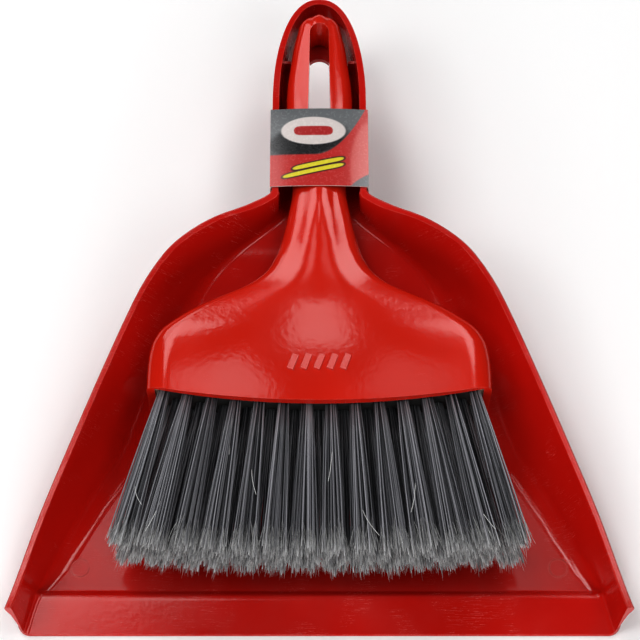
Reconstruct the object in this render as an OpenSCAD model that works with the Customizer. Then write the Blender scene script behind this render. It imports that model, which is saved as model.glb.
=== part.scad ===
// Dust pan and brush set. The brush lies in the pan with its grip inside the pan's hollow
// handle, and a printed card sleeve holds the two handles together.
// Frame: millimetres, +Z up, the floor at z = 0. The origin is on the floor at the middle
// of the pan's length and width. The mouth faces -Y and the handles point to +Y.

/* [Pan] */
// Width across the front corners of the mouth, mm
pan_w = 254; // [210:1:310]
// Length from the lip to the end of the handle, mm
pan_l = 277; // [230:1:335]
// Length of the handle behind the tray, mm
handle_l = 100; // [83:1:120]
// Height of the side walls at the mouth, mm
mouth_h = 27; // [20:1:35]
// Height of the rim along the handle, mm
rim_h = 61; // [50:1:74]
// Wall thickness of the pan and of the brush's shell, mm
wall_t = 2.2; // [1.6:0.1:2.8]
// Thickness of the tray's floor, mm
floor_t = 2; // [1.6:0.1:2.4]
// Height of the ridge behind the lip, mm
ridge_h = 5; // [3:0.5:6]
// Thickness of the lip's front edge, mm
lip_t = 0.9; // [0.6:0.1:1.5]

/* [Pan handle] */
// Outer width of the hollow handle, mm
handle_w = 40.4; // [33:0.2:50]
// Depth of the channel inside the handle, mm
channel_depth = 19; // [16:0.5:23]
// Width of the hanging slot, mm
hang_w = 10.4; // [8:0.1:12.5]
// Length of the hanging slot, mm
hang_l = 34; // [28:1:40]

/* [Brush] */
// Free length of the middle bristles, mm
bristle_l = 63.5; // [50:0.5:77]
// Height of the head, mm
head_h = 33; // [27:0.5:40]
// Depth of the bristle block from front to back, mm
block_d = 24; // [20:0.5:29]
// Gap beside the grip in the pan's channel, mm
grip_gap = 2.5; // [2:0.1:4.5]
// Length of the slot in the grip, mm
slot_l = 57; // [47:1:68]

/* [Sleeve] */
// Length of the card sleeve along the handles, mm
sleeve_l = 37.8; // [30:0.2:46]
// Thickness of the folded card, mm
card_t = 0.5; // [0.3:0.1:0.8]

/* [Hidden] */
$fn = 64;
clearance = 0.3;

// Main places along the pan
half_w = pan_w / 2;
lip_y = -pan_l / 2;
end_y = pan_l / 2;
tray_l = pan_l - handle_l;
root_y = lip_y + tray_l;

// The ridge behind the lip: its ramp, its flat top and the step down to the tray
ridge_run = 14.5;
ridge_top = 1;
ridge_step = 3.4;
ridge_foot_y = lip_y + ridge_run + ridge_top + ridge_step;

// Heights of the head, and the brush's places from its bristle tips to the end of its grip
tip_gap = 0.8;
block_set_back = 1;
head_front_y = ridge_foot_y + tip_gap + bristle_l - block_set_back;
head_under_rim = 3;
head_top = rim_h - head_under_rim;
head_bottom = head_top - head_h;
face_y = head_front_y + block_set_back;
block_back_y = face_y + block_d;
shoulder_gap = 2.1;
shoulder_y = block_back_y + shoulder_gap;

// The handle's channel, its rim and the small outward lip of the rim
channel_z = rim_h - channel_depth;
rim_w = wall_t + 0.6;
rim_edge = 0.6;
rim_lip = 3;
rim_rise = 1.6;
handle_r = handle_w / 2;
channel_r = handle_r - rim_w;
channel_draft = 0.4;
channel_base_r = channel_r - channel_draft;
channel_fillet = 4;
handle_taper = 55;
handle_round = 0.44;
handle_taper_y = end_y - handle_taper;
handle_end_drop = 5.5;

// The slope from the tray to the handle passes below the head's back corner
under_head = 9.7;
scoop_top_gap = 12;
scoop_top_y = root_y - scoop_top_gap;
scoop_slope = (channel_z - head_bottom + under_head) / (scoop_top_y - block_back_y);
scoop_y = block_back_y - (head_bottom - under_head - floor_t) / scoop_slope;
scoop_round = 8;
root_round = 5;

// Rim and foot of the side wall in plan: share of the tray's length from the lip, share of
// the way from the handle's half width to the mouth's half width, and the slope if it is fixed
rim_plan = [[0, 1], [0.211, 0.9], [0.394, 0.787], [0.589, 0.655], [0.753, 0.533], [0.818, 0.469],
            [0.867, 0.404], [0.905, 0.326], [0.9395, 0.222], [0.968, 0.09], [1, 0, 0], [1.1, 0, 0]];
foot_plan = [[0, 0.959], [0.1, 0.907], [0.2, 0.822], [0.305, 0.73], [0.38, 0.655], [0.45, 0.588],
             [0.557, 0.51], [0.67, 0.435], [0.784, 0.34], [0.84, 0.266], [0.897, 0.158],
             [0.945, 0.058], [1, 0, 0], [1.1, 0, 0]];
// Radius of the fillet between floor and side wall, mm, by share of the tray's length
foot_fillet = [[0, 2.5], [0.08, 3], [0.14, 8], [0.4, 13], [0.7, 14], [0.88, 8],
               [1, channel_fillet, 0], [1.1, channel_fillet, 0]];

// Grip of the brush: its waist where the neck ends, its end, and the slot along it
grip_r = channel_base_r - grip_gap;
grip_over_rim = 1;
grip_top = rim_h + grip_over_rim;
rail_h = 1.2;
grip_bottom = channel_z + rail_h + clearance;
waist_share = 0.798;
waist_gap = 3.3;
waist_y = root_y + waist_gap;
grip_end_gap = 6.3;
grip_end_y = end_y - rim_w - grip_end_gap;
grip_end_round = 8.4;
slot_r_top = 4.1;
slot_r_bottom = 5.1;
slot_end_wall = 7.4;
slot_top_y = grip_end_y - slot_end_wall;
slot_bottom_y = slot_top_y - slot_l;
slot_wall = 2;

// Half width of the neck by share of the way from the shoulder to the waist, and of the grip
// from the waist to its rounded end, as a share of the change or of the grip's widest place
shoulder_share = 0.975;
neck_plan = [[0, shoulder_share, -0.55], [0.0917, 0.918], [0.158, 0.823], [0.2327, 0.682],
             [0.303, 0.503], [0.365, 0.335], [0.4456, 0.2], [0.5416, 0.121], [0.6628, 0.072],
             [0.8037, 0.034], [1, 0, 0]];
grip_plan = [[0, waist_share, 0], [0.507, 1, 0], [0.64, 0.97], [0.78, 0.875], [0.9, 0.785], [1, 0.66]];

// Slot through the pan's handle, below the brush's slot
hang_set_back = 6.4;
hang_top_y = slot_top_y - hang_set_back;
hang_bottom_y = hang_top_y - hang_l;

// The head is as wide as the pan's side walls leave room for beside its back corners
head_room = 4.6;
function wall_x(y, z) =
    let (t = (y - lip_y) / tray_l, x = foot_x(t), rise = (z - pan_z(y)) / (rim_z(t) - pan_z(y)))
    mix(x, rim_x(t) - rim_w * askew(t), rise);
head_r = (wall_x(shoulder_y, head_bottom) - head_room - (1 - shoulder_share) * waist_share * grip_r)
         / shoulder_share;
front_sag = 7.2;
front_arc_r = (head_r ^ 2 + front_sag ^ 2) / (2 * front_sag);

// The head's top is crowned across, and falls towards the front
crown = 1.8;
front_fall = 1.2;

// Bristle block, its rows of tufts and their flat wire staples
block_inset = 1.3;
block_over = 0.3;
block_under = 0.8;
block_r = head_r - wall_t - block_inset;
block_top = head_top - wall_t - crown - front_fall - block_over;
block_bottom = head_bottom + wall_t + block_under;
tufts_long = 14;
tufts_short = 13;
end_tuft_inset = 4;
tuft_pitch = 2 * (block_r - end_tuft_inset) / (tufts_long - 1);
row_share = 0.347;
row_pitch = (block_top - block_bottom) * row_share;
tuft_share_of_pitch = 0.27;
tuft_r = tuft_share_of_pitch * min(tuft_pitch, row_pitch);
tuft_under_top = 0.7;
row_z = [for (row = [0:2]) block_top - tuft_under_top - tuft_r - row * row_pitch];
tuft_depth = 13.5;
tuft_neck = 1.2;
fan_angle = 14;
edge_growth = 4.5;
staple_grip = 0.8;
staple_w = 2 * (tuft_r + staple_grip);
staple_t = 0.5;
staple_h = 1.6;
staple_lift = 0.2;

// Tips: the top row drops a little, and the low row ends a set height above the ridge
top_drop = 4.5;
tip_clear = 7.5;
tip_pitch = tuft_pitch + bristle_l * sin(fan_angle) / ((tufts_long - 1) / 2);
tip_fill = 0.45;
top_tip_z = row_z[0] - top_drop;
tip_row_pitch = (top_tip_z - ridge_h - tip_clear) / (2 + tip_fill);
tip_r = tip_fill * min(tip_pitch, tip_row_pitch);
low_tip_z = ridge_h + tip_clear + tip_r;
tip_z = [top_tip_z, (top_tip_z + low_tip_z) / 2, low_tip_z];

// Sleeve
sleeve_gap = 1;
sleeve_y = root_y + sleeve_gap;
sleeve_r = handle_r + clearance;
sleeve_over = 0.4;
sleeve_top = grip_top + sleeve_over;

row_name = ["top", "middle", "low"];
function row_tufts(row) = row == 1 ? tufts_short : tufts_long;
function two_digits(n) = str(n < 10 ? "0" : "", n);
function tuft_name(row, n) = str("tuft_", row_name[row], "_", two_digits(n));

// ---- curves ----

function mix(a, b, t) = a + (b - a) * t;

// Smooth curve through the rows [place, value, fixed slope]
function row_slope(rows, i) =
    len(rows[i]) > 2 ? rows[i][2] :
    let (a = max(i - 1, 0), b = min(i + 1, len(rows) - 1))
    (rows[b][1] - rows[a][1]) / (rows[b][0] - rows[a][0]);
function row_before(rows, t, i = 0) =
    i >= len(rows) - 2 || t <= rows[i + 1][0] ? i : row_before(rows, t, i + 1);
function curve(rows, t) =
    let (i = row_before(rows, t),
         h = rows[i + 1][0] - rows[i][0],
         u = min(1, max(0, (t - rows[i][0]) / h)))
    (2 * u ^ 3 - 3 * u ^ 2 + 1) * rows[i][1] + (u ^ 3 - 2 * u ^ 2 + u) * h * row_slope(rows, i)
    + (3 * u ^ 2 - 2 * u ^ 3) * rows[i + 1][1] + (u ^ 3 - u ^ 2) * h * row_slope(rows, i + 1);

// 0 below -r, v above r, and a smooth bend between
function bend(v, r) = v <= -r ? 0 : v >= r ? v : (v + r) ^ 2 / (4 * r);
// 0 to 1 with level ends as v goes from a to b
function ease(v, a, b) = let (u = min(1, max(0, (v - a) / (b - a)))) u * u * (3 - 2 * u);

// Points of a fillet between a level floor and a wall that leans out by lean degrees
function fillet(x, z, lean, r, steps) =
    let (run = r * tan((90 - lean) / 2))
    [for (i = [0:steps])
        let (a = -90 + (90 - lean) * i / steps) [x - run + r * cos(a), z + r + r * sin(a)]];

// ---- lofts ----

// Faces between rings of n points each, the first ring first
function loft_sides(rings, n) =
    [for (i = [0:rings - 2], j = [0:n - 1], half = [0, 1])
        let (k = (j + 1) % n, a = i * n, b = (i + 1) * n)
        half == 0 ? [a + j, b + k, a + k] : [a + j, b + j, b + k]];

// ---- the pan ----

function rim_x(t) = mix(handle_r, half_w, curve(rim_plan, t));
function foot_x(t) = mix(channel_base_r, half_w, curve(foot_plan, t));
function rim_z(t) = mix(mouth_h, rim_h, min(1, t) ^ rim_rise);

// Height of the pan's upper face along its middle
function ramp_z(y) =
    let (d = y - lip_y)
    d < ridge_run ? mix(lip_t, ridge_h, d / ridge_run) :
    d < ridge_run + ridge_top ? ridge_h :
    mix(ridge_h, floor_t, ease(y, ridge_foot_y - ridge_step, ridge_foot_y));
function scoop_z(y) =
    channel_z - bend(channel_z - floor_t - scoop_slope * bend(y - scoop_y, scoop_round), root_round);
function pan_z(y) = y < scoop_y - scoop_round ? ramp_z(y) : scoop_z(y);

// How much wider a wall gets in a section across the pan where the rim runs askew
function askew(t) =
    let (step = 0.01, g = (rim_x(t + step) - rim_x(t - step)) / (2 * step * tray_l))
    t < step || t > 1 ? 1 : sqrt(1 + g * g);

// The front edges of the side walls rake back and the lip's corners are rounded in plan
front_rake = 3.8;
corner_r = 5;
front_blend = 36;
function set_back(x, z, y) =
    let (u = min(1, (y - lip_y) / front_blend),
         c = min(1, max(0, abs(x) - (half_w - wall_t - corner_r)) / corner_r),
         up = min(1, z / mouth_h))
    (1 - u) ^ 2 * (front_rake * up + 0.8 * corner_r * (1 - up) * (1 - sqrt(1 - c ^ 2)));

// Half of the section across the pan: upper face from the middle to the rim, and the lower
// face in the same order. skin draws every face in towards the middle of the wall.
fillet_steps = 5;
function pan_upper(y, skin) =
    let (t = (y - lip_y) / tray_l, z = pan_z(y), zr = rim_z(t) - skin,
         xf = foot_x(t) + skin, xr = rim_x(t) - rim_w * askew(t) + skin, zf = z - skin,
         lean = atan((xr - xf) / (zr - zf)),
         arc = fillet(xf, zf, lean, curve(foot_fillet, t), fillet_steps),
         foot = arc[fillet_steps], top = [xr, zr - rim_edge])
    concat([[0, zf], [arc[0][0] / 2, zf]], arc,
           [mix(foot, top, 0.4), mix(foot, top, 0.8), top, [xr + rim_edge, zr]]);
function pan_lower(y, skin) =
    let (t = (y - lip_y) / tray_l, k = askew(t), z = pan_z(y), zr = rim_z(t) - skin,
         x_in = foot_x(t), lean = atan((rim_x(t) - rim_w * k - x_in) / (rim_z(t) - z)),
         zf = z - wall_t * (y > scoop_y ? 1.08 : 1) + skin,
         shift = wall_t * k / cos(lean) - skin,
         xf = x_in + shift + (zf - z) * tan(lean),
         arc = fillet(xf, zf, lean, curve(foot_fillet, t) + wall_t, fillet_steps),
         xr = rim_x(t) - skin, under = zr - rim_lip - 0.6)
    concat([[0, zf], [arc[0][0] / 2, zf]], arc,
           [[xf + (under - zf) * tan(lean), under], [xr, zr - rim_lip],
            [xr, zr - rim_edge], [xr - rim_edge * k, zr]]);
function placed(p, x_side, y) = [x_side * p[0], y + set_back(p[0], p[1], y), max(0, p[1])];
function pan_ring(y, skin) =
    let (up = pan_upper(y, skin), low = pan_lower(y, skin), n = len(up))
    concat([for (i = [0:n - 1]) placed(up[i], 1, y)],
           [for (i = [n - 1:-1:0]) placed(low[i], 1, y)],
           [for (i = [1:n - 1]) placed(low[i], -1, y)],
           [for (i = [n - 1:-1:1]) placed(up[i], -1, y)]);

tray_join = 3;
bowl_y = max(root_y - 26, mix(scoop_y + scoop_round, root_y, 0.5));
pan_stations = concat(
    [for (u = [0, 0.12, 0.3, 0.6, 0.9]) lip_y + ridge_run * u],
    [for (i = [-1:5]) mix(ridge_foot_y - ridge_step, ridge_foot_y, i / 5)],
    [for (i = [1:6]) mix(ridge_foot_y, scoop_y - scoop_round, i / 7)],
    [for (i = [0:8]) scoop_y + scoop_round * (i / 4 - 1)],
    [for (i = [1:13]) mix(scoop_y + scoop_round, bowl_y, i / 13)],
    [for (i = [1:17]) mix(bowl_y, root_y, i / 17)],
    [root_y + tray_join]);
pan_half = fillet_steps + 7;
pan_ring_n = 4 * pan_half - 2;

// The end faces join each point of the upper face to its partner on the lower face
function pan_end(first, flip) =
    let (n = pan_half, m = pan_ring_n)
    [for (side = [0, 1], i = [0:n - 2], half = [0, 1])
        let (a = side == 0 ? i : (m - i) % m,
             b = side == 0 ? i + 1 : m - i - 1,
             c = side == 0 ? 2 * n - 2 - i : 2 * n + i,
             d = side == 0 ? 2 * n - 1 - i : (i == 0 ? 2 * n - 1 : 2 * n - 1 + i),
             tri = half == 0 ? [a, b, c] : [a, c, d],
             turned = (side == 0) != flip)
        [for (v = turned ? tri : [tri[2], tri[1], tri[0]]) first + v]];

module tray() {
    last = len(pan_stations) - 1;
    rings = [for (i = [0:last]) pan_ring(pan_stations[i], i < last - 1 ? 0 : i < last ? 0.02 : 0.5)];
    polyhedron(
        points = [for (ring = rings) each ring],
        faces = concat(loft_sides(last + 1, pan_ring_n), pan_end(0, false),
                       pan_end(last * pan_ring_n, true)),
        convexity = 8);
}

// Plan of the handle: straight sides, then a long rounded end
function handle_end(r, y_end) =
    [for (i = [0:24])
        let (u = 1 - (1 - i / 24) ^ 2, x = r * (1 - u ^ 2) ^ handle_round)
        [x, mix(handle_taper_y, y_end, u)]];
module handle_plan(r, y_start, y_end) {
    side = handle_end(r, y_end);
    polygon(concat([[-r, y_start], [r, y_start]], side,
                   [for (i = [len(side) - 2:-1:0]) [-side[i][0], side[i][1]]]));
}
// Section of the handle: level bottom with rounded corners, open upwards
module handle_section(r, z, corner, z_top) {
    translate([-r, z + corner]) square([2 * r, z_top - z - corner]);
    translate([-r + corner, z]) square([2 * (r - corner), corner + 1]);
    for (side = [-1, 1]) translate([side * (r - corner), z + corner]) circle(corner);
}
module along_y(y_start, y_end) {
    translate([0, y_end, 0]) rotate([90, 0, 0]) linear_extrude(y_end - y_start) children();
}
module handle_body(r, z, corner, y_start, y_end) {
    tall = rim_h + 20;
    intersection() {
        linear_extrude(tall) handle_plan(r, y_start, y_end);
        along_y(y_start - 1, y_end + 1) handle_section(r, z, corner, tall);
    }
}
module handle_trim() {
    // The rim stays level as far as the taper and then falls to the handle's end
    fall = atan(handle_end_drop / (end_y - handle_taper_y));
    translate([-handle_w, handle_taper_y, rim_h]) rotate([-fall, 0, 0])
        translate([0, -20, 0]) cube([2 * handle_w, pan_l, 40]);
    translate([-handle_w, root_y - 10, rim_h]) cube([2 * handle_w, handle_taper_y - root_y + 10, 40]);
}
module hang_slot() {
    translate([0, 0, channel_z - 2 * wall_t])
        linear_extrude(3 * wall_t + 4) {
            for (y = [hang_bottom_y, hang_top_y - hang_w / 2]) translate([0, y]) circle(hang_w / 2);
            translate([-hang_w / 2, hang_bottom_y]) square([hang_w, hang_top_y - hang_w / 2 - hang_bottom_y]);
        }
}
// Low cross rails that carry the brush's grip, and upright ribs beside it near its end
rail_t = 1.6;
rail_y = [root_y + 12, root_y + 30];
rib_t = 1.3;
rib_h = 8;
rib_y = end_y - 29.6;
rib_gap = 0.7 + grip_r * curve(grip_plan, grip_share(rib_y));
module channel_ribs() {
    for (y = rail_y)
        translate([-channel_base_r - 0.5, y, channel_z - 1])
            cube([2 * channel_base_r + 1, rail_t, rail_h + 1]);
    intersection() {
        for (side = [-1, 1])
            translate([side * (rib_gap + handle_r / 2), rib_y, channel_z + rib_h / 2 - 1])
                cube([handle_r, rib_t, rib_h + 2], center = true);
        handle_body(handle_r - 1, channel_z - 1, channel_fillet + 1, root_y, end_y - 1);
    }
}
// Two ribs under the slope carry the back of the pan on the floor
heel_x = 34.3;
heel_t = 2.6;
heel_start_y = scoop_y - 6;
heel_end_y = mix(scoop_y, root_y, 0.7);
module heel_ribs() {
    top = [for (i = [0:6]) let (y = mix(heel_start_y, heel_end_y, i / 6)) [y, pan_z(y) - wall_t / 2]];
    for (side = [-1, 1])
        translate([side * heel_x - heel_t / 2, 0, 0]) rotate([90, 0, 90]) linear_extrude(heel_t)
            polygon(concat(top, [[heel_end_y + 3, 2], [heel_end_y + 1, 0], [heel_start_y, 0]]));
}
// Round moulding marks in the tray's front corners
mark_r = 4.2;
mark_w = 0.6;
mark_depth = 0.3;
mark_inset = 11;
mark_y = ridge_foot_y + 9.6;
module mould_marks() {
    for (side = [-1, 1])
        translate([side * (foot_x((mark_y - lip_y) / tray_l) - mark_inset), mark_y, floor_t - mark_depth])
            difference() {
                cylinder(r = mark_r, h = 1);
                translate([0, 0, -1]) cylinder(r = mark_r - mark_w, h = 3);
            }
}
module dustpan() {
    color([0.72, 0.06, 0.04]) difference() {
        union() {
            tray();
            difference() {
                handle_body(handle_r, channel_z - wall_t, channel_fillet + wall_t, root_y, end_y);
                handle_body(channel_r, channel_z, channel_fillet, root_y - 1, end_y - rim_w);
                handle_trim();
            }
            channel_ribs();
            heel_ribs();
        }
        hang_slot();
        mould_marks();
    }
}

// ---- the brush ----

function end_share(y) = max(0, y - (grip_end_y - grip_end_round)) / grip_end_round;
function end_rest(y) = sqrt(1 - min(0.999, end_share(y)) ^ 2);
function neck_share(y) = (y - shoulder_y) / (waist_y - shoulder_y);
function head_share(y) = 1 - (1 - shoulder_share) * max(0, (y - head_front_y) / (shoulder_y - head_front_y)) ^ 5;
function grip_share(y) = min(1, (y - waist_y) / (grip_end_y - grip_end_round - waist_y));
function shell_r(y) =
    y < shoulder_y ? mix(waist_share * grip_r, head_r, head_share(y)) :
    y < waist_y ? mix(waist_share * grip_r, head_r, curve(neck_plan, neck_share(y))) :
    grip_r * curve(grip_plan, grip_share(y)) * end_rest(y);
end_lift = 3;
neck_clear = 4;
front_fall_y = shoulder_y + 8;
function front_share(y) = max(0, (front_fall_y - y) / (front_fall_y - head_front_y));
function shell_top(y) =
    mix(head_top, grip_top, ease(neck_share(y), 0.14, 0.93)) - edge_h * (1 - end_rest(y))
    - front_fall * front_share(y) ^ 2;
function shell_bottom(y) =
    max(mix(head_bottom, grip_bottom, ease(neck_share(y), 0.04, 0.65)) + end_lift * end_share(y) ^ 2,
        y > block_back_y && y < waist_y ? min(pan_z(y) + neck_clear, grip_bottom) : 0);
// Width and height of the rounding along the top edges
function edge_w(y) = min(0.5 * shell_r(y), mix(10, 6, ease(neck_share(y), 0.22, 0.8)));
edge_h = 6;
crown_steps = 4;
edge_steps = 6;
low_steps = 3;
// The hollow in the neck and grip runs out through their underside
open_below = 4;

// Half of the shell's section from the middle of the top to the middle of the bottom
function shell_half(y, wall) =
    let (r = shell_r(y) - wall, top = shell_top(y) - wall, bottom = shell_bottom(y) - (wall > 0 ? open_below : 0),
         ew = edge_w(y), eh = edge_h * max(0.15, end_rest(y)), low = min(2.5, 0.3 * r))
    concat([for (i = [0:crown_steps - 1])
               let (u = i / crown_steps) [(r - ew) * u, top - crown * u ^ 2]],
           [for (i = [0:edge_steps])
               let (a = 90 * i / edge_steps)
               [r - ew + ew * sin(a), top - crown - eh + eh * cos(a)]],
           [for (i = [0:low_steps])
               let (a = 90 * i / low_steps) [r - low + low * cos(a), bottom + low - low * sin(a)]],
           [[0, bottom]]);
function shell_ring(y, wall) =
    let (half = shell_half(y, wall), n = len(half))
    concat([for (i = [0:n - 1]) [half[i][0], y, half[i][1]]],
           [for (i = [n - 2:-1:1]) [-half[i][0], y, half[i][1]]]);
shell_ring_n = 2 * (crown_steps + edge_steps + low_steps + 3) - 2;

module shell_loft(stations, wall) {
    n = shell_ring_n;
    last = len(stations) - 1;
    polyhedron(
        points = [for (y = stations) each shell_ring(y, wall)],
        faces = concat(loft_sides(last + 1, n), [[for (j = [0:n - 1]) j]],
                       [[for (j = [n - 1:-1:0]) last * n + j]]),
        convexity = 6);
}
neck_y = mix(shoulder_y, waist_y, 0.5);
shell_stations = concat(
    [for (i = [0:6]) mix(head_front_y - 2, shoulder_y, i / 6)],
    [for (i = [1:15]) mix(shoulder_y, neck_y, i / 15)],
    [for (i = [1:8]) mix(neck_y, waist_y, i / 8)],
    [for (i = [1:9]) mix(waist_y, grip_end_y - grip_end_round, i / 9)],
    [for (i = [1:6]) grip_end_y - grip_end_round + grip_end_round * sin(13.6 * i)]);
hollow_end_wall = 3;
hollow_stations = concat(
    [for (i = [0:12]) mix(block_back_y + wall_t, neck_y, i / 12)],
    [for (i = [1:12]) mix(neck_y, slot_top_y - hollow_end_wall, i / 12)]);

module brush_slot(grow, z_from, z_to) {
    r_top = slot_r_top + grow;
    r_bottom = slot_r_bottom + grow;
    y_top = slot_top_y - slot_r_top;
    translate([0, 0, z_from]) linear_extrude(z_to - z_from) {
        translate([0, y_top]) circle(r_top);
        translate([0, slot_bottom_y]) circle(r_bottom);
        polygon([[-r_bottom, slot_bottom_y], [r_bottom, slot_bottom_y], [r_top, y_top], [-r_top, y_top]]);
    }
}
// A small raised ornament of slanted bars on the head
motif_y = head_front_y + 16.5;
motif_pitch = 5.4;
motif_turn = 20;
motif_proud = 0.5;
bar_w = 2.6;
bar_l = 6.8;
module motif() {
    for (i = [-2:2])
        translate([motif_pitch * i, motif_y, shell_top(motif_y) - 1]) rotate([0, 0, -motif_turn])
            translate([-bar_w / 2, -bar_l / 2, 0]) cube([bar_w, bar_l, 1 + motif_proud]);
}
module front_arc(set_back) {
    translate([0, head_front_y + set_back + front_arc_r, -10]) cylinder(r = front_arc_r, h = 120, $fn = 256);
}
module block_space(y_front) {
    translate([-block_r, y_front, block_bottom])
        cube([2 * block_r, block_back_y - y_front, block_top - block_bottom]);
}
module broom_shell() {
    color([0.80, 0.10, 0.07]) difference() {
        union() {
            intersection() {
                shell_loft(shell_stations, 0);
                front_arc(0);
            }
            motif();
        }
        difference() {
            shell_loft(hollow_stations, wall_t);
            brush_slot(slot_wall, 0, rim_h + 20);
        }
        brush_slot(0, 0, rim_h + 20);
        block_space(head_front_y - 5);
    }
}

// A tuft's place: its root on the block's front face, its direction out along local +Z
function tuft_share(row, n) = (n - (row_tufts(row) + 1) / 2) / ((tufts_long - 1) / 2);
function tuft_x(row, n) = tuft_share(row, n) * (tufts_long - 1) / 2 * tuft_pitch;
function arc_y(x) = face_y + front_arc_r - sqrt(front_arc_r ^ 2 - x ^ 2);
function tuft_length(row, n) = bristle_l + edge_growth * tuft_share(row, n) ^ 2;
module at_tuft(row, n) {
    x = tuft_x(row, n);
    down = asin((row_z[row] - tip_z[row]) / tuft_length(row, n));
    translate([x, arc_y(x), row_z[row]])
        rotate([0, 0, fan_angle * tuft_share(row, n)])
            rotate([90 + down, 0, 0]) children();
}
module staple() {
    translate([-staple_w / 2, -staple_t / 2, staple_lift - tuft_depth]) cube([staple_w, staple_t, staple_h]);
}
module tuft(row, n) {
    color([0.22, 0.22, 0.23]) at_tuft(row, n) difference() {
        union() {
            translate([0, 0, -tuft_depth]) cylinder(r = tuft_r, h = tuft_depth + tuft_neck);
            translate([0, 0, tuft_neck])
                cylinder(r1 = tuft_r, r2 = tip_r, h = tuft_length(row, n) - tuft_neck);
        }
        staple();
    }
}
module all_tufts() {
    for (row = [0:2], n = [1:row_tufts(row)]) at_tuft(row, n) children();
}
module bristle_block() {
    color([0.68, 0.62, 0.52]) difference() {
        intersection() {
            block_space(face_y - 2);
            front_arc(block_set_back);
        }
        all_tufts() {
            translate([0, 0, -tuft_depth]) cylinder(r = tuft_r, h = tuft_depth + tuft_neck);
            staple();
        }
    }
}
module tuft_staples() {
    color([0.7, 0.7, 0.72]) all_tufts() staple();
}

// ---- the card sleeve ----

// Closed outline: rounded folds at the bottom, tight folds at the rims, and a slight crown
fold_r = 1.2;
sleeve_crown = 1.2;
module sleeve_outline(grow) {
    r = sleeve_r + grow;
    bottom = channel_z - wall_t - clearance - grow;
    low_r = channel_fillet + wall_t + clearance + grow;
    top = sleeve_top + grow;
    crown_r = (r ^ 2 + sleeve_crown ^ 2) / (2 * sleeve_crown);
    intersection() {
        union() {
            translate([-r, bottom + low_r]) square([2 * r, top - fold_r - bottom - low_r]);
            translate([-r + low_r, bottom]) square([2 * (r - low_r), low_r + 1]);
            translate([-r + fold_r, top - fold_r - 1]) square([2 * (r - fold_r), fold_r + 2]);
            for (side = [-1, 1]) {
                translate([side * (r - low_r), bottom + low_r]) circle(low_r);
                translate([side * (r - fold_r), top - fold_r]) circle(fold_r);
            }
        }
        translate([0, top - crown_r]) circle(crown_r, $fn = 256);
    }
}
module card_sleeve() {
    color([0.45, 0.45, 0.47]) along_y(sleeve_y, sleeve_y + sleeve_l) difference() {
        sleeve_outline(card_t);
        sleeve_outline(0);
    }
}

// ---- nodes ----

dustpan();
broom_shell();
bristle_block();
tuft_staples();
card_sleeve();
for (row = [0:2], n = [1:row_tufts(row)])
    tuft(row, n);
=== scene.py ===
# %% [markdown]
# # A dust pan and brush set
# The set is a moulded dust pan, a hand brush whose grip lies in the pan's hollow handle, and a
# printed card sleeve that holds the two handles together. The CAD model is loaded first, because
# it is the frame: every finished piece takes its place and size from it and moves with its bodies.

import math

import bpy
import numpy as np
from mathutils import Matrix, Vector


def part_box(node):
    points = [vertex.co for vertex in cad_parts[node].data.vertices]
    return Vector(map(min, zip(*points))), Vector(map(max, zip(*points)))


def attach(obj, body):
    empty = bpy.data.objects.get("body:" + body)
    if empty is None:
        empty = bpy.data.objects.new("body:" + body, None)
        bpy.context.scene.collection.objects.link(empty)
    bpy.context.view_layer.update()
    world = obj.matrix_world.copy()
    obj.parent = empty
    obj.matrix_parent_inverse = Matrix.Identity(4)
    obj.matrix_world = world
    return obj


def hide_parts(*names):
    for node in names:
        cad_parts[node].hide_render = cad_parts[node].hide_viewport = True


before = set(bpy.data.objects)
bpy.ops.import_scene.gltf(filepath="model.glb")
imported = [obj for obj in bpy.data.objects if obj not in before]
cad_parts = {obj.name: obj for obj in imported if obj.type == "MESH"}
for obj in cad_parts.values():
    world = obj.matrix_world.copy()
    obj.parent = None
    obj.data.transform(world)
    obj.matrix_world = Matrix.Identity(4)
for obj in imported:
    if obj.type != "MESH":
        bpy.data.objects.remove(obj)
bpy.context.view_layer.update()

# %% [markdown]
# ## The camera
# A camera is a point, a direction and a lens. The set is looked at from above its mouth, 65
# degrees over the floor, through a fairly long lens, so the far handle looks only a little smaller
# than the near lip. It could be aimed with a Track To constraint, but the direction is a turn about
# one axis, so an angle is simpler and says what the view is.

# %% Camera
view_height = math.radians(65)
view_distance = 0.85
view_centre = Vector((0, -0.0035, 0.020))
view_line = Vector((0, -math.cos(view_height), math.sin(view_height)))

camera_data = bpy.data.cameras.new("camera")
camera_data.lens = 110.1
camera_data.sensor_width = 36
camera_data.shift_x = 0.0011
camera = bpy.data.objects.new("camera", camera_data)
camera.location = view_centre + view_distance * view_line
camera.rotation_euler = (math.pi / 2 - view_height, 0, 0)
bpy.context.scene.collection.objects.link(camera)
bpy.context.scene.camera = camera
bpy.context.scene.view_settings.view_transform = "Standard"
print("camera at", tuple(round(v, 4) for v in camera.location))

# %% [markdown]
# ## Helpers for shader nodes
# A material is a small graph. It could be written node by node and link by link, but that hides
# what the finish does. Here one helper adds a node, sets its properties and joins or fills its
# inputs, so that each finish below reads as a list of steps.

# %% Node helpers


def add(tree, kind, inputs=None, **settings):
    """Adds a shader node; an input is either a value or the output it is joined to."""
    made = tree.nodes.new("ShaderNode" + kind)
    for key, value in settings.items():
        setattr(made, key, value)
    for key, value in (inputs or {}).items():
        if isinstance(value, bpy.types.NodeSocket):
            tree.links.new(value, made.inputs[key])
        else:
            made.inputs[key].default_value = value
    return made


def calc(tree, kind, *values, clamp=False):
    """The output of one Math node."""
    return add(tree, "Math", dict(enumerate(values)), operation=kind, use_clamp=clamp).outputs[0]


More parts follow.
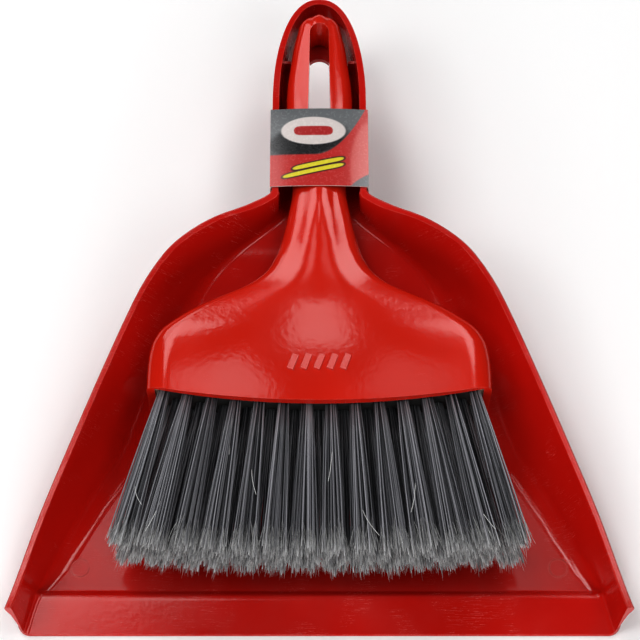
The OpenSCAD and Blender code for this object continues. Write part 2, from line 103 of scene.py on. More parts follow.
def spread(tree, value, low, high, to_low=0.0, to_high=1.0):
    """Maps low..high smoothly to to_low..to_high."""
    inputs = {"Value": value, "From Min": low, "From Max": high, "To Min": to_low, "To Max": to_high}
    return add(tree, "MapRange", inputs, interpolation_type="SMOOTHSTEP").outputs["Result"]


def blend_colours(tree, share, first, second):
    """Goes from the first colour to the second as share goes from 0 to 1."""
    made = add(tree, "Mix", {"Factor": share}, data_type="RGBA")
    for socket, value in ((made.inputs["A"], first), (made.inputs["B"], second)):
        socket = [s for s in made.inputs if s.name == socket.name and s.type == "RGBA"][0]
        if isinstance(value, bpy.types.NodeSocket):
            tree.links.new(value, socket)
        else:
            socket.default_value = (*value, 1)
    return [s for s in made.outputs if s.type == "RGBA"][0]


def new_group(name, numbers, outputs):
    """A shader node group with named number inputs and outputs; returns it with its two ends."""
    group = bpy.data.node_groups.new(name, "ShaderNodeTree")
    for label, value in numbers.items():
        group.interface.new_socket(label, in_out="INPUT", socket_type="NodeSocketFloat").default_value = value
    for label in outputs:
        group.interface.new_socket(label, in_out="OUTPUT", socket_type="NodeSocketFloat")
    return group, group.nodes.new("NodeGroupInput").outputs, group.nodes.new("NodeGroupOutput").inputs


def place_group(tree, group, numbers):
    """Places a group in a material with its own values."""
    made = tree.nodes.new("ShaderNodeGroup")
    made.node_tree = group
    for label, value in numbers.items():
        made.inputs[label].default_value = value
    return made.outputs


def new_material(name):
    """An empty material with a Principled BSDF joined to its output."""
    material = bpy.data.materials.new(name)
    material.use_nodes = True
    tree = material.node_tree
    tree.nodes.clear()
    shader = add(tree, "BsdfPrincipled")
    add(tree, "OutputMaterial", {"Surface": shader.outputs[0]})
    return material, tree, shader


# %% [markdown]
# ## Shared wear and surface effects
# Three things happen to every moulded piece here: it is scratched by grit, dust settles on what
# faces up, and its edges rub pale. They could be painted by hand, but a painted map fits only one
# piece. Each is a node group that puts out a mask, so the same effect can be strong on the pan's
# tray and faint on the grip. Scratches are noise stretched until it is streaks, dust is specks and
# a film on what faces up, and a rubbed edge is where a rounded normal leaves the flat one.

# %% Scratches
scratch_group, given, result = new_group("grit_scratches", {"Scale": 60, "Keep": 0.6}, ["Mask"])
place = add(scratch_group, "TexCoord").outputs["Object"]
scratch_half_width = 0.006
lines = 0.0
for turn, stretch in ((20, 26), (-38, 34), (74, 30)):
    turned = add(
        scratch_group,
        "Mapping",
        {"Vector": place, "Rotation": (0, 0, math.radians(turn)), "Scale": (1, stretch, 1)},
    ).outputs[0]
    streak = add(
        scratch_group, "TexNoise", {"Vector": turned, "Scale": given["Scale"], "Detail": 2.0}
    ).outputs[0]
    off_middle = calc(scratch_group, "SUBTRACT", streak, 0.5)
    thin = spread(scratch_group, calc(scratch_group, "ABSOLUTE", off_middle), scratch_half_width, 0.0)
    patch = add(
        scratch_group, "TexNoise", {"Vector": place, "Scale": 45.0 + turn * 0.2, "Detail": 1.0}
    ).outputs[0]
    kept = spread(scratch_group, calc(scratch_group, "SUBTRACT", patch, given["Keep"]), 0.0, 0.08)
    lines = calc(scratch_group, "MAXIMUM", lines, calc(scratch_group, "MULTIPLY", thin, kept))
scratch_group.links.new(lines, result["Mask"])
print("scratches: three directions of thin streaks, kept only in patches")

# %% Dust
dust_group, given, result = new_group("settled_dust", {"Speck": 1400, "Amount": 0.5}, ["Mask"])
place = add(dust_group, "TexCoord").outputs["Object"]
facing = add(dust_group, "SeparateXYZ", {0: add(dust_group, "NewGeometry").outputs["Normal"]})
upward = spread(dust_group, facing.outputs["Z"], 0.3, 0.95)
specks = add(dust_group, "TexVoronoi", {"Vector": place, "Scale": given["Speck"]}).outputs["Distance"]
clouds = add(dust_group, "TexNoise", {"Vector": place, "Scale": 35.0, "Detail": 4.0}).outputs[0]
near_speck = spread(dust_group, specks, 0.2, 0.05)
grains = calc(dust_group, "MULTIPLY", near_speck, spread(dust_group, clouds, 0.5, 0.75))
film = calc(dust_group, "MULTIPLY", spread(dust_group, clouds, 0.35, 0.8), 0.25)
total = calc(dust_group, "MULTIPLY", calc(dust_group, "MAXIMUM", grains, film), given["Amount"])
dust_group.links.new(calc(dust_group, "MULTIPLY", total, upward, clamp=True), result["Mask"])
print("dust:", len(dust_group.nodes), "nodes, specks and a film on what faces up")

# %% Rubbed edges
edge_group, given, result = new_group("rubbed_edges", {"Width": 0.0008, "Amount": 1.0}, ["Mask"])
rounded = add(edge_group, "Bevel", {"Radius": given["Width"]}, samples=4).outputs[0]
flat = add(edge_group, "NewGeometry").outputs["Normal"]
agree = add(edge_group, "VectorMath", {0: rounded, 1: flat}, operation="DOT_PRODUCT").outputs["Value"]
place = add(edge_group, "TexCoord").outputs["Object"]
patchy = add(edge_group, "TexNoise", {"Vector": place, "Scale": 220.0, "Detail": 3.0}).outputs[0]
on_edge = spread(edge_group, agree, 0.995, 0.93)
bare = calc(edge_group, "MULTIPLY", on_edge, spread(edge_group, patchy, 0.3, 0.6))
edge_group.links.new(calc(edge_group, "MULTIPLY", bare, given["Amount"], clamp=True), result["Mask"])
print("rubbed edges:", len(edge_group.nodes), "nodes")

# %% [markdown]
# ## Moulded plastic
# Both big mouldings are glossy polypropylene. One function makes the red, because the pan and the
# brush differ only in shade and wear: the pan meets the grit. The red goes all through, so its
# colour hardly changes, but the gloss does: the mould leaves a faint orange-peel wave, scratches
# scatter the light, and dust makes it duller. The wave and the scratches go to Bump. The scratches
# and the dust also go to Roughness, and, as pale tints, to the colour.

# %% Red plastic


def red_plastic(name, colour, gloss, scratch, dust, edge):
    """Glossy red moulding; scratch, dust and edge say how worn it is."""
    material, tree, shader = new_material(name)
    place = add(tree, "TexCoord").outputs["Object"]
    clouds = add(tree, "TexNoise", {"Vector": place, "Scale": 14.0, "Detail": 3.0}).outputs[0]
    peel = add(tree, "TexNoise", {"Vector": place, "Scale": 420.0, "Detail": 1.0}).outputs[0]
    marks = place_group(tree, scratch_group, {"Scale": 60, "Keep": 0.75 - 0.25 * scratch})["Mask"]
    dusty = place_group(tree, dust_group, {"Speck": 1300, "Amount": dust})["Mask"]
    rubbed = place_group(tree, edge_group, {"Width": 0.0007, "Amount": edge})["Mask"]
    deep = [c * 0.86 for c in colour]
    body = blend_colours(tree, spread(tree, clouds, 0.3, 0.7), deep, colour)
    pale = blend_colours(tree, calc(tree, "MULTIPLY", rubbed, 0.5), body, (0.78, 0.25, 0.21))
    worn = blend_colours(tree, calc(tree, "MULTIPLY", marks, 0.35 * scratch), pale, (0.85, 0.45, 0.42))
    finish = blend_colours(tree, calc(tree, "MULTIPLY", dusty, 0.5), worn, (0.45, 0.30, 0.27))
    tree.links.new(finish, shader.inputs["Base Color"])
    rough = spread(tree, clouds, 0.2, 0.8, gloss - 0.04, gloss + 0.05)
    rough = calc(tree, "ADD", rough, calc(tree, "MULTIPLY", marks, 0.25))
    rough = calc(tree, "ADD", rough, calc(tree, "MULTIPLY", dusty, 0.35), clamp=True)
    tree.links.new(rough, shader.inputs["Roughness"])
    height = calc(tree, "SUBTRACT", peel, calc(tree, "MULTIPLY", marks, 0.6))
    bump = add(tree, "Bump", {"Height": height, "Strength": 0.06, "Distance": 0.0004})
    tree.links.new(bump.outputs[0], shader.inputs["Normal"])
    shader.inputs["IOR"].default_value = 1.5
    return material


pan_plastic = red_plastic("pan_plastic", (0.54, 0.010, 0.005), 0.13, 0.7, 0.35, 0.6)
brush_plastic = red_plastic("brush_plastic", (0.63, 0.020, 0.006), 0.11, 0.3, 0.12, 0.4)
print("red plastic:", len(pan_plastic.node_tree.nodes), "nodes in each of two materials")

# %% [markdown]
# ## Smooth copies of the mouldings
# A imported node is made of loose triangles, which catch the light one by one. A copy of it has its
# doubled points merged and its flat triangles joined, small rounds are added along its edges with
# a Bevel, and then it is shaded smooth up to a set angle. The copy stands for the node. Lengths are
# in metres and angles in degrees.

# %% Copy, merge, round
same_point = 1e-6
flat_angle = 0.3
edge_angle = 40
smooth_angle = 35


def only(piece):
    """Selects one object and makes it the active one."""
    bpy.ops.object.select_all(action="DESELECT")
    piece.select_set(True)
    bpy.context.view_layer.objects.active = piece


def smooth_copy(node, name, edge_round, steps):
    """A merged copy of a CAD node, with its edges rounded and its curves shaded smooth."""
    piece = bpy.data.objects.new(name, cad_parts[node].data.copy())
    bpy.context.scene.collection.objects.link(piece)
    only(piece)
    bpy.ops.mesh.customdata_custom_splitnormals_clear()
    bpy.ops.object.mode_set(mode="EDIT")
    bpy.ops.mesh.select_all(action="SELECT")
    bpy.ops.mesh.remove_doubles(threshold=same_point)
    bpy.ops.mesh.dissolve_limited(angle_limit=math.radians(flat_angle))
    bpy.ops.object.mode_set(mode="OBJECT")
    if edge_round:
        rounds = piece.modifiers.new("rounded_edges", "BEVEL")
        rounds.width = edge_round
        rounds.segments = steps
        rounds.limit_method = "ANGLE"
        rounds.angle_limit = math.radians(edge_angle)
        bpy.ops.object.modifier_apply(modifier=rounds.name)
    bpy.ops.object.shade_smooth_by_angle(angle=math.radians(smooth_angle))
    even = piece.modifiers.new("even_normals", "WEIGHTED_NORMAL")
    even.keep_sharp = True
    bpy.ops.object.modifier_apply(modifier=even.name)
    piece.data.materials.clear()
    print(name, len(piece.data.polygons), "faces")
    return piece


# %% [markdown]
# ## The pan and the brush shell
# These are the two big mouldings, and their shapes are the CAD model's. They could be modelled anew
# here, but then they could drift from the solids that move and collide. So each is a smooth copy,
# and its edges get the half-millimetre round that a mould leaves and that catches the light.

# %% Dust pan and brush shell
moulding_round = 0.0005
pan = smooth_copy("dustpan", "dust_pan", moulding_round, 2)
pan.data.materials.append(pan_plastic)
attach(pan, "pan")
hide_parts("dustpan")

shell = smooth_copy("broom_shell", "brush_shell", moulding_round, 2)
shell.data.materials.append(brush_plastic)
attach(shell, "brush")
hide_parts("broom_shell")

# %% [markdown]
# ## The bristle block
# The tufts are pressed into a block of plain beige plastic. The block's ends show beside the outer
# tufts. Between the tufts the block lies in the shell's shadow, and that shadow is painted on it as
# a near-black colour. It could be a second piece laid on the block, but a change of colour with the
# distance from the block's end does the same. The finish is dull with fine grain.

# %% Block
block_paint, tree, shader = new_material("block_plastic")
place = add(tree, "TexCoord").outputs["Object"]
grain = add(tree, "TexNoise", {"Vector": place, "Scale": 500.0, "Detail": 4.0}).outputs[0]
clouds = add(tree, "TexNoise", {"Vector": place, "Scale": 60.0, "Detail": 2.0}).outputs[0]
beige = blend_colours(tree, clouds, (0.42, 0.36, 0.27), (0.56, 0.50, 0.40))
block_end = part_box("bristle_block")[1].x
# Painted shade: past this distance from the block's end, the block is coloured near black for the shell's
# shadow.
unshaded_end = 0.0035
shade_fade = 0.0015
across = add(tree, "SeparateXYZ", {0: place}).outputs["X"]
painted_shade_start = block_end - unshaded_end
painted_shade = spread(tree, calc(tree, "ABSOLUTE", across), painted_shade_start, painted_shade_start - shade_fade)
# Painted shade: a near-black colour between the tufts, where the shell shades the block.
tree.links.new(blend_colours(tree, painted_shade, beige, (0.020, 0.019, 0.018)), shader.inputs["Base Color"])
tree.links.new(spread(tree, grain, 0.3, 0.7, 0.5, 0.7), shader.inputs["Roughness"])
bump = add(tree, "Bump", {"Height": grain, "Strength": 0.2, "Distance": 0.0003})
tree.links.new(bump.outputs[0], shader.inputs["Normal"])

block_round = 0.0003
block = smooth_copy("bristle_block", "bristle_block_body", block_round, 1)
block.data.materials.append(block_paint)
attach(block, "brush")
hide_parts("bristle_block")

# %% [markdown]
# ## Staple wire
# A flat wire staple at the bottom of each hole holds its tuft. It is drawn wire, and the fine lines
# of the die run along it. The staples sit inside the block, where nothing shows them until the set
# is taken apart, so their CAD shape is enough. Only their material changes: stretched noise makes
# the lines, on a metal.

# %% Staples
wire_metal, tree, shader = new_material("staple_wire")
place = add(tree, "TexCoord").outputs["Object"]
drawn = add(tree, "Mapping", {"Vector": place, "Scale": (1, 1, 12)}).outputs[0]
lines = add(tree, "TexNoise", {"Vector": drawn, "Scale": 700.0, "Detail": 3.0}).outputs[0]
steel = blend_colours(tree, lines, (0.46, 0.46, 0.47), (0.70, 0.70, 0.71))
tree.links.new(steel, shader.inputs["Base Color"])
tree.links.new(spread(tree, lines, 0.2, 0.8, 0.25, 0.45), shader.inputs["Roughness"])
shader.inputs["Metallic"].default_value = 1.0
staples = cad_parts["tuft_staples"]
staples.data.materials.clear()
staples.data.materials.append(wire_metal)
print("staples:", len(staples.data.polygons), "faces")

# %% [markdown]
# ## One bristle and one split end
# A bristle is a plastic thread about 0.6 mm thick. Its last centimetre or so is "flagged": split
# into fine ends that hold dust. Both are modelled once, as a thin cylinder of unit height with a
# few rings cut into it by bisect and a narrowed top. Hair curves would be quicker to lay, but they
# don't come through an export as solid pieces. Every copy is bent along its own line.

# %% Bristle and split end
almost_top = 0.999


def thread(name, sides, rings, top_share):
    """Points and faces of a unit-high thread with rings cut at the given heights."""
    bpy.ops.object.select_all(action="DESELECT")
    bpy.ops.mesh.primitive_cylinder_add(vertices=sides, radius=1, depth=1, location=(0, 0, 0.5))
    piece = bpy.context.object
    bpy.ops.object.transform_apply(location=True)
    bpy.ops.object.mode_set(mode="EDIT")
    for height in rings:
        bpy.ops.mesh.select_all(action="SELECT")
        bpy.ops.mesh.bisect(plane_co=(0, 0, height), plane_no=(0, 0, 1))
    bpy.ops.mesh.select_all(action="DESELECT")
    bpy.ops.object.mode_set(mode="OBJECT")
    for vertex in piece.data.vertices:
        vertex.select = vertex.co.z > almost_top
    bpy.ops.object.mode_set(mode="EDIT")
    bpy.ops.mesh.select_mode(type="VERT")
    bpy.ops.transform.resize(value=(top_share, top_share, 1), center_override=(0, 0, 1))
    bpy.ops.object.mode_set(mode="OBJECT")
    points = np.array([v.co for v in piece.data.vertices], float)
    faces = [list(p.vertices) for p in piece.data.polygons]
    bpy.data.objects.remove(piece)
    print(name, len(points), "points", len(faces), "faces")
    return points, faces


bristle_form = thread("bristle", 5, (0.3, 0.6, 0.8, 0.92), 0.7)
split_form = thread("split end", 3, (0.4, 0.75), 0.3)

# %% [markdown]
# ## The line of a tuft
# Each CAD tuft is a cone that gives the line its bristles follow: the middle of its root ring and of
# its tip ring. The rings could be worked out from the brush's sizes, but reading them off the CAD
# node keeps the bristles inside it whatever the sizes are.

# %% Tuft line from its CAD node
ring_depth = 0.0005


def tuft_line(node):
    """Root centre, tip centre and tip radius of a CAD tuft."""
    points = np.array([v.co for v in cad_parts[node].data.vertices], float)
    points = np.unique(points.round(6), axis=0)
    axis = np.linalg.svd(points - points.mean(0), full_matrices=False)[2][0]
    axis = axis if axis[1] < 0 else -axis
    along = points @ axis
    tip = points[along > along.max() - ring_depth]
    root = points[along < along.min() + ring_depth]
    tip_centre, root_centre = (tip.min(0) + tip.max(0)) / 2, (root.min(0) + root.max(0)) / 2
    return root_centre, tip_centre, np.linalg.norm(tip - tip_centre, axis=1).max()


first_root, first_tip, tip_radius = tuft_line("tuft_top_01")
print("tuft_top_01", first_root.round(4), first_tip.round(4), "tip radius", round(tip_radius, 4))

# %% [markdown]
# ## Laying the bristles
# Bristles start packed in a round hole and fan out to the tip ring. They never cross much, because
# each keeps its place in the circle. Places on a golden-angle spiral fill the circle evenly, where
# random places would leave bald spots. The scatters are what a machine-trimmed brush shows: ends
# cut a little long or short, and bristles bowed a little out of line. Two values go with every
# point for the finish: how near the tip it is, and a shade for its bristle.

# %% Sizes and scatters
in_block = 0.0105  # the first stretch of a bristle is hidden in the block
root_radius = 0.0021
bristle_radius = 0.00031
bristles_in_tuft = 46
golden_turn = 2.39996
turn_scatter = 0.3
trim = (-0.0035, 0.0002)  # how short or long the ends are cut
tip_fill = 0.96  # share of the CAD tip ring that the bristles fill
tip_scatter = 0.0006
bow = 0.0006  # how far the outer bristles bow outwards
bow_scatter = 0.0004

splits_in_bristle = 5
split_length = 0.012
split_shares = (0.6, 1.1)  # the splits' own lengths, as shares of split_length
split_radius = 0.000085
split_fan = 0.0011
split_trim = (-0.001, 0.0012)
split_bow_scatter = 0.0007
print("one tuft:", bristles_in_tuft, "bristles,", bristles_in_tuft * splits_in_bristle, "split ends")

# %% Lay the bristles of one tuft


def lay_threads(form, starts, bends, ends, radius):
    """Copies a unit thread along many bent lines; returns the points of all copies."""
    points = form[0]
    t = points[:, 2][None, :, None]
    line = (1 - t) ** 2 * starts[:, None] + 2 * t * (1 - t) * bends[:, None] + t**2 * ends[:, None]
    run = ends - starts
    run /= np.linalg.norm(run, axis=1, keepdims=True)
    side = np.cross(run, (0.0, 0.0, 1.0))
    side /= np.linalg.norm(side, axis=1, keepdims=True)
    up = np.cross(side, run)
    ring = points[:, 0][None, :, None] * side[:, None] + points[:, 1][None, :, None] * up[:, None]
    return line + ring * radius


def tuft_threads(node, dice):
    """Points, faces, tip share and shade of all the threads of one tuft."""
    root, tip, spread_radius = tuft_line(node)
    axis = (tip - root) / np.linalg.norm(tip - root)
    across = np.cross(axis, (0.0, 0.0, 1.0))
    across /= np.linalg.norm(across)
    upward = np.cross(across, axis)
    count = bristles_in_tuft
    reach = np.sqrt((np.arange(count) + 0.5) / count)
    turn = np.arange(count) * golden_turn + dice.uniform(-turn_scatter, turn_scatter, count)
    disc = (reach * np.cos(turn))[:, None] * across + (reach * np.sin(turn))[:, None] * upward
    stagger = dice.uniform(*trim, count)[:, None] * axis
    starts = root + in_block * axis + disc * root_radius
    ends = tip + stagger + disc * spread_radius * tip_fill + dice.normal(0, tip_scatter, (count, 3))
    bends = (starts + ends) / 2 + disc * bow + dice.normal(0, bow_scatter, (count, 3))
    laid = lay_threads(bristle_form, starts, bends, ends, bristle_radius)
    heights = np.repeat(bristle_form[0][:, 2][None], count, 0)
    shades = np.repeat(dice.uniform(0, 1, count)[:, None], heights.shape[1], 1)

    many = count * splits_in_bristle
    pull = np.repeat(ends - starts, splits_in_bristle, 0)
    pull /= np.linalg.norm(pull, axis=1, keepdims=True)
    tips = np.repeat(ends, splits_in_bristle, 0)
    back = dice.uniform(*split_shares, many)[:, None] * split_length
    fan = dice.normal(0, split_fan, (many, 3))
    split_starts = tips - pull * back
    split_ends = tips + pull * dice.uniform(*split_trim, many)[:, None] + fan
    split_bends = (split_starts + split_ends) / 2 + dice.normal(0, split_bow_scatter, (many, 3))
    split = lay_threads(split_form, split_starts, split_bends, split_ends, split_radius)
    split_heights = np.repeat(1 + split_form[0][:, 2][None], many, 0)
    split_shades = np.repeat(dice.uniform(0, 1, many)[:, None], split_heights.shape[1], 1)

    points = np.concatenate([laid.reshape(-1, 3), split.reshape(-1, 3)])
    faces = []
    first = 0
    for form, copies in ((bristle_form, count), (split_form, many)):
        for _ in range(copies):
            faces += [[first + i for i in face] for face in form[1]]
            first += len(form[0])
    near_tip = np.concatenate([heights.ravel(), split_heights.ravel()])
    shade = np.concatenate([shades.ravel(), split_shades.ravel()])
    return points, faces, near_tip, shade


# %% [markdown]
# ## Bristle plastic
# The bristles are charcoal plastic, and the split ends look paler because they scatter the light.
# Two materials could do it, with a hard line between them. One material that reads how near the
# tip a point is goes from one to the other smoothly, and the shade tells the bristles apart.

# %% Bristle plastic
bristle_paint, tree, shader = new_material("bristle_plastic")
near_tip = add(tree, "Attribute", attribute_name="near_tip").outputs["Fac"]
shade = add(tree, "Attribute", attribute_name="shade").outputs["Fac"]
dark = blend_colours(tree, shade, (0.022, 0.023, 0.028), (0.33, 0.33, 0.355))
fuzz = blend_colours(tree, shade, (0.13, 0.13, 0.135), (0.72, 0.72, 0.71))
tinted = blend_colours(tree, spread(tree, near_tip, 0.86, 1.15), dark, fuzz)
tree.links.new(tinted, shader.inputs["Base Color"])
tree.links.new(spread(tree, near_tip, 0.7, 1.2, 0.32, 0.55), shader.inputs["Roughness"])
print("bristle plastic:", len(tree.nodes), "nodes")

# %% [markdown]
# ## All the tufts
# The real brush has one tuft in each hole, so each is its own piece and takes the place of its own
# CAD node. They could all be one mesh, but then a tuft couldn't be hidden or swapped. The dice are
# seeded once, so the brush is the same each time.

# %% All the tufts


def threads_piece(name, points, faces, near_tip, shade):
    """A piece made of threads, with the two attributes that its finish reads."""
    mesh = bpy.data.meshes.new(name)
    mesh.from_pydata(points.tolist(), [], faces)
    for label, values in (("near_tip", near_tip), ("shade", shade)):
        mesh.attributes.new(label, "FLOAT", "POINT").data.foreach_set("value", values.astype(np.float32))
    mesh.shade_smooth()
    mesh.materials.append(bristle_paint)
    piece = bpy.data.objects.new(name, mesh)
    bpy.context.scene.collection.objects.link(piece)
    return piece


dice = np.random.default_rng(11)
tuft_nodes = sorted(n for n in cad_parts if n.startswith("tuft_") and n != "tuft_staples")
for node in tuft_nodes:
    points, faces, near, shades = tuft_threads(node, dice)
    tuft = threads_piece(node.replace("tuft", "bristles"), points, faces, near, shades)
    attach(tuft, "brush")
    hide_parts(node)
print(len(tuft_nodes), "tufts of", len(faces), "faces")

# %% [markdown]
# ## Loose bristles
# On a used or shaken brush a few bristles spring out of line and catch the light. Each starts on
# the upper side of a tuft in the top row and ends a little to one side. They are one small piece,
# made from the same thread and the same finish, set to its palest tip colour as a painted highlight
# for the light they catch. Each line of the list gives the tuft, how far along it the bristle
# starts, its length as a share of the tuft, and how far its end stands to the side in millimetres.

# %% Loose bristles
loose_radius = 0.00013
millimetre = 0.001
loose_places = (
    (1, 0.62, 0.10, 5),
    (2, 0.70, 0.16, -3),
    (4, 0.08, 0.22, 1),
    (5, 0.45, 0.14, 3),
    (8, 0.30, 0.18, -2),
    (9, 0.72, 0.14, 6),
    (11, 0.50, 0.20, -4),
    (13, 0.74, 0.12, 4),
)
starts, bends, ends = [], [], []
for number, start_share, run_share, sideways in loose_places:
    root, tip, spread_radius = tuft_line(f"tuft_top_{number:02d}")
    above = np.array((0, 0, spread_radius * 0.9))
    first = root + (tip - root) * (0.2 + 0.8 * start_share) + above * (0.4 + 0.6 * start_share)
    last = first + (tip - root) * run_share + np.array((sideways, 0, 1.0)) * millimetre
    starts.append(first)
    ends.append(last)
    bends.append((first + last) / 2 + np.array((-sideways * 0.3, 0, 1.2)) * millimetre)
points = lay_threads(bristle_form, np.array(starts), np.array(bends), np.array(ends), loose_radius)
faces = [[i + n * points.shape[1] for i in face] for n in range(len(points)) for face in bristle_form[1]]
points = points.reshape(-1, 3)
# Painted highlight: the loose bristles get the palest tip colour of the bristle finish.
loose = threads_piece("loose_bristles", points, faces, np.full(len(points), 2.0), np.ones(len(points)))
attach(loose, "brush")
print("loose bristles:", len(starts))

# %% [markdown]
# ## The card sleeve
# The sleeve is thin printed card. Its print could be an image, but shapes drawn by nodes stay sharp
# at any distance. The print is laid out in the sleeve's own frame: s goes from -1 at the left edge
# to 1 at the right, w from 0 at the near cut edge to 1 at the far one.

# %% The frame of the print
card_low, card_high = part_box("card_sleeve")
card_paint, tree, shader = new_material("printed_card")
place = add(tree, "SeparateXYZ", {0: add(tree, "TexCoord").outputs["Object"]})
s = calc(tree, "DIVIDE", place.outputs["X"], card_high.x)
w = calc(tree, "DIVIDE", calc(tree, "SUBTRACT", place.outputs["Y"], card_low.y), card_high.y - card_low.y)
print("card:", round(2 * card_high.x, 4), "wide,", round(card_high.y - card_low.y, 4), "along the handle")

# %% [markdown]
# ## The shapes of the print
# An oval is where the squares of the two distances add up to less than one. With a higher power on
# the long way, the same sum gives a bar with round ends, so one function serves both.

# %% Ovals and bars


def shape_level(s0, w0, half_s, half_w, tilt, end_power):
    """Under 1 inside a tilted shape of the print; a higher end_power makes its ends squarer."""
    ds = calc(tree, "SUBTRACT", s, s0)
    dw = calc(tree, "SUBTRACT", w, w0)
    level = calc(tree, "SUBTRACT", dw, calc(tree, "MULTIPLY", ds, tilt))
    a = calc(tree, "POWER", calc(tree, "ABSOLUTE", calc(tree, "DIVIDE", ds, half_s)), end_power)
    b = calc(tree, "POWER", calc(tree, "ABSOLUTE", calc(tree, "DIVIDE", level, half_w)), 2.0)
    return calc(tree, "ADD", a, b)


def oval(s0, w0, half_s, half_w, tilt, soft):
    """1 inside a tilted oval of the print, 0 outside; soft is how blurred its edge is."""
    return spread(tree, shape_level(s0, w0, half_s, half_w, tilt, 2.0), 1 + soft, 1 - soft)


def bar(s0, w0, half_s, half_w, tilt):
    """1 inside a tilted bar with rounded ends, 0 outside."""
    return spread(tree, shape_level(s0, w0, half_s, half_w, tilt, 8.0), 1.25, 0.75)


# %% [markdown]
# ## The fields of the print
# The charcoal field and the red field meet in a curve that swells to the right. It could be a
# straight cut, but the curve is one square and one sum. A soft glow lies behind the oval, and a
# paler sheen on the right of the red.

# %% Fields
right_of_middle = calc(tree, "MAXIMUM", calc(tree, "ADD", s, 0.1), 0.0)
swell = calc(tree, "MULTIPLY", calc(tree, "POWER", right_of_middle, 2.0), 0.55)
red_edge = calc(tree, "SUBTRACT", w, calc(tree, "ADD", swell, 0.40))
red_field = spread(tree, red_edge, 0.012, -0.012)
glow = calc(tree, "MULTIPLY", oval(-0.15, 0.70, 1.0, 0.34, 0.10, 0.8), 0.6)
sheen = calc(tree, "MULTIPLY", oval(1.25, 0.10, 0.62, 0.75, -0.2, 0.12), red_field)
print("print fields:", len(tree.nodes), "nodes so far")

# %% [markdown]
# ## What isn't printed
# The underside of the sleeve is plain charcoal, the inside is bare card and so is the cut edge. A
# face is on the inside when its normal points back to the middle of the sleeve. Fine paper fibres
# show through the ink.

# %% Underside, inside, cut edge and fibres
facing = add(tree, "SeparateXYZ", {0: add(tree, "NewGeometry").outputs["Normal"]})
underside = spread(tree, facing.outputs["Z"], -0.5, -0.9)
above_middle = calc(tree, "SUBTRACT", place.outputs["Z"], (card_low.z + card_high.z) / 2)
out_sideways = calc(tree, "MULTIPLY", facing.outputs["X"], place.outputs["X"])
out_upward = calc(tree, "MULTIPLY", facing.outputs["Z"], above_middle)
inside = spread(tree, calc(tree, "ADD", out_sideways, out_upward), 0.0005, -0.0005)
cut_edge = spread(tree, calc(tree, "ABSOLUTE", facing.outputs["Y"]), 0.7, 0.9)
card_place = add(tree, "TexCoord").outputs["Object"]
fibre = add(tree, "TexNoise", {"Vector": card_place, "Scale": 900.0, "Detail": 4.0}).outputs[0]
print("card faces, edges and fibres:", len(tree.nodes), "nodes so far")

# %% [markdown]
# ## Laying the inks
# It is all plain shapes on charcoal: a pale level oval with a dark shade under it and a red bar in
# it, a red field with two yellow bars that have a dark rim, and a grey corner. Each ink has a mask,
# and they are laid one over another in the order of the list, as a press does.

# %% Inks
dark_rim, yellow = (0.05, 0.01, 0.01), (0.70, 0.62, 0.04)
bar_tilt = 0.13
yellow_bars = []
for s0, w0, half_s in ((-0.02, 0.285, 0.52), (-0.12, 0.195, 0.62)):
    yellow_bars.append((bar(s0, w0, half_s + 0.04, 0.042, bar_tilt), dark_rim))
    yellow_bars.append((bar(s0, w0, half_s, 0.026, bar_tilt), yellow))
inks = (
    (glow, (0.22, 0.23, 0.24)),
    (oval(-0.22, 0.60, 0.80, 0.22, 0.10, 0.25), (0.012, 0.012, 0.014)),
    (oval(-0.12, 0.71, 0.66, 0.18, 0.0, 0.08), (0.66, 0.60, 0.58)),
    (bar(-0.12, 0.71, 0.40, 0.06, 0.0), (0.42, 0.03, 0.03)),
    (red_field, (0.50, 0.028, 0.024)),
    (calc(tree, "MULTIPLY", sheen, 0.45), (0.72, 0.24, 0.22)),
    (oval(1.35, -0.12, 0.86, 0.34, 0.10, 0.06), (0.16, 0.165, 0.17)),
    *yellow_bars,
    (underside, (0.05, 0.052, 0.055)),
    (inside, (0.55, 0.53, 0.49)),
    (cut_edge, (0.62, 0.60, 0.56)),
    (spread(tree, fibre, 0.66, 0.85, 0.0, 0.08), (0.6, 0.58, 0.56)),
)
print_colour = blend_colours(tree, spread(tree, w, 0.4, 1.0), (0.03, 0.03, 0.033), (0.10, 0.105, 0.11))
for mask, ink in inks:
    print_colour = blend_colours(tree, mask, print_colour, ink)
tree.links.new(print_colour, shader.inputs["Base Color"])
print("card print:", len(inks), "inks,", len(tree.nodes), "nodes")

# %% [markdown]
# ## The finish of the card, and the sleeve
# Card could be modelled rough, but this one has a coat of varnish over the ink, so it is fairly
# smooth with a thin clear coat. The fibres lift the varnish a very little.

# %% Card finish
tree.links.new(spread(tree, fibre, 0.3, 0.7, 0.20, 0.30), shader.inputs["Roughness"])
shader.inputs["Coat Weight"].default_value = 0.3
shader.inputs["Coat Roughness"].default_value = 0.12
bump = add(tree, "Bump", {"Height": fibre, "Strength": 0.03, "Distance": 0.0002})
tree.links.new(bump.outputs[0], shader.inputs["Normal"])

# %% Sleeve
sleeve = smooth_copy("card_sleeve", "printed_sleeve", 0.0, 1)
sleeve.data.materials.append(card_paint)
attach(sleeve, "sleeve")
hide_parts("card_sleeve")

# %% [markdown]
# ## The floor
# The set stands on a plain pale floor. The floor is a hair lower than the pan, so that the two faces
# don't lie in one plane. A plane is enough. A studio's curved sweep would matter only in a view that
# takes in the horizon.

# %% Floor
bpy.ops.object.select_all(action="DESELECT")
bpy.ops.mesh.primitive_plane_add(size=12, location=(0, 0, -0.0003))
floor = bpy.context.object
floor.name = "studio_floor"
floor_paint, tree, shader = new_material("floor_paint")
shader.inputs["Base Color"].default_value = (0.95, 0.95, 0.95, 1)
shader.inputs["Roughness"].default_value = 0.8
floor.data.materials.append(floor_paint)
print("floor:", tuple(floor.dimensions))

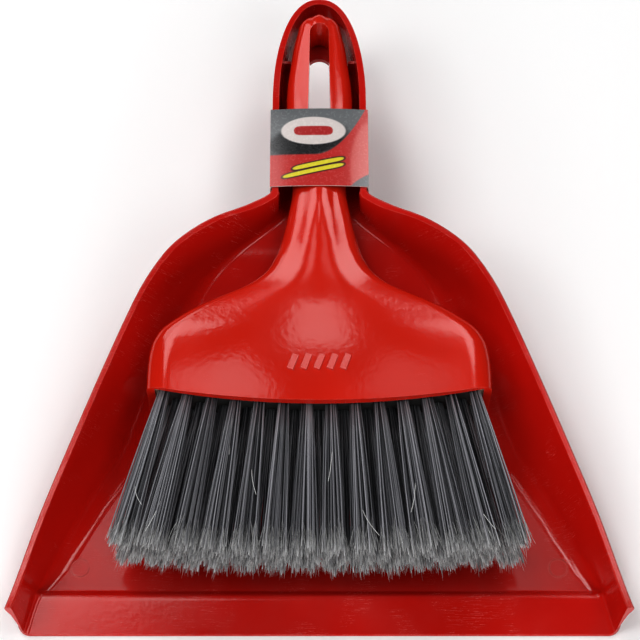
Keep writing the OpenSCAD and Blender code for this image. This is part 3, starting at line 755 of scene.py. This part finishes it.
# %% [markdown]
# ## The soft boxes
# Shiny red plastic shows its shape by what it mirrors, so where the boxes stand matters more than
# how bright they are. One big light overhead would wash the red out. Here two high ones at the
# sides draw the bands along the neck, two behind light the flat tray, a weak one high behind shows
# as the soft patch on the head, and a low one in front fills the mouth of the pan.

# %% Soft boxes
box_distance = 2.0


def soft_box(name, around, height, side, radiance):
    """A square soft box on a dome; around is 0 in front of the mouth and 90 at the right."""
    turn, lift = math.radians(around), math.radians(height)
    place = Vector((math.cos(lift) * math.sin(turn), -math.cos(lift) * math.cos(turn), math.sin(lift)))
    data = bpy.data.lights.new(name, "AREA")
    data.shape = "SQUARE"
    data.size = side
    data.energy = radiance * math.pi * side**2
    light = bpy.data.objects.new(name, data)
    light.location = place * box_distance
    light.rotation_euler = (-place).to_track_quat("-Z", "Y").to_euler()
    bpy.context.scene.collection.objects.link(light)


soft_box("box_front_low", 0, 12, 0.9, 9.4)
soft_box("box_front_right", 36, 55, 0.6, 3.9)
soft_box("box_right", 90, 72, 0.5, 6.2)
soft_box("box_back_right", 144, 55, 0.6, 5.7)
soft_box("box_back_small", 180, 67.5, 0.18, 4.2)
soft_box("box_tray_left", 208, 73, 0.24, 3.0)
soft_box("box_tray_right", 154, 73, 0.24, 1.5)
soft_box("box_back_left", 216, 55, 0.6, 5.3)
soft_box("box_back_left_low", 216, 35, 0.75, 3.9)
soft_box("box_left", 270, 72, 0.5, 7.0)
soft_box("box_left_low", 288, 55, 0.6, 6.3)
soft_box("box_front_left", 315, 72, 0.5, 3.8)

# %% [markdown]
# ## The backdrop
# The camera sees white behind the floor, but only a twentieth of that light falls on the set. A
# white world at full strength would fill every shadow. A gamma under one deepens the darker reds.

# %% Backdrop
backdrop_light = 0.05
world = bpy.data.worlds.new("studio")
world.use_nodes = True
backdrop = world.node_tree.nodes["Background"]
backdrop.inputs["Color"].default_value = (1, 1, 1, 1)
seen = add(world.node_tree, "LightPath").outputs["Is Camera Ray"]
strength = spread(world.node_tree, seen, 0, 1, backdrop_light, 1.0)
world.node_tree.links.new(strength, backdrop.inputs["Strength"])
bpy.context.scene.world = world
bpy.context.scene.view_settings.gamma = 0.78

print("backdrop light:", backdrop_light)
